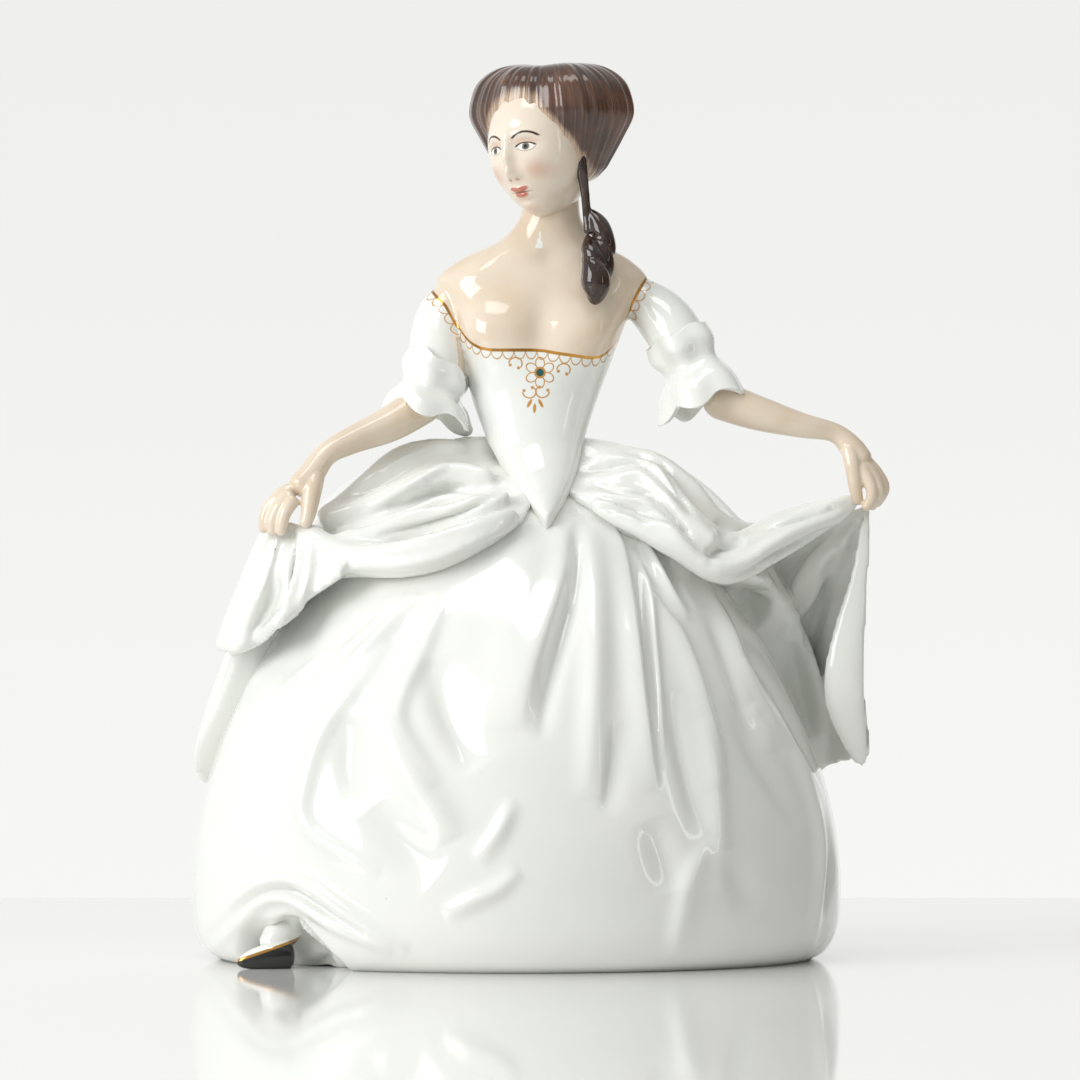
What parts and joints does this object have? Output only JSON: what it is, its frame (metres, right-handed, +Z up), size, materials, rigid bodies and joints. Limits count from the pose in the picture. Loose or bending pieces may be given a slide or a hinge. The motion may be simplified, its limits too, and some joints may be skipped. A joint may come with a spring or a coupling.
{
  "type": "porcelain figurine",
  "caption": "Glazed porcelain lady in a wide crinoline, holding her robe out in both hands, one shoe showing under the hem.",
  "frame": {"origin": "middle of the flat underside that the figurine stands on", "axes": "+Z up, -Y to the figurine's front, +X to the viewer's right when she is seen from the front"},
  "size_m": [0.1817, 0.1476, 0.2342],
  "materials": {
    "glazed_porcelain": "white hard-paste porcelain under a clear glossy glaze, with the flesh, hair, shoe and gilt trim painted over the glaze"
  },
  "bodies": {
    "root": {"figurine": "glazed_porcelain"}
  },
  "joints": []
}
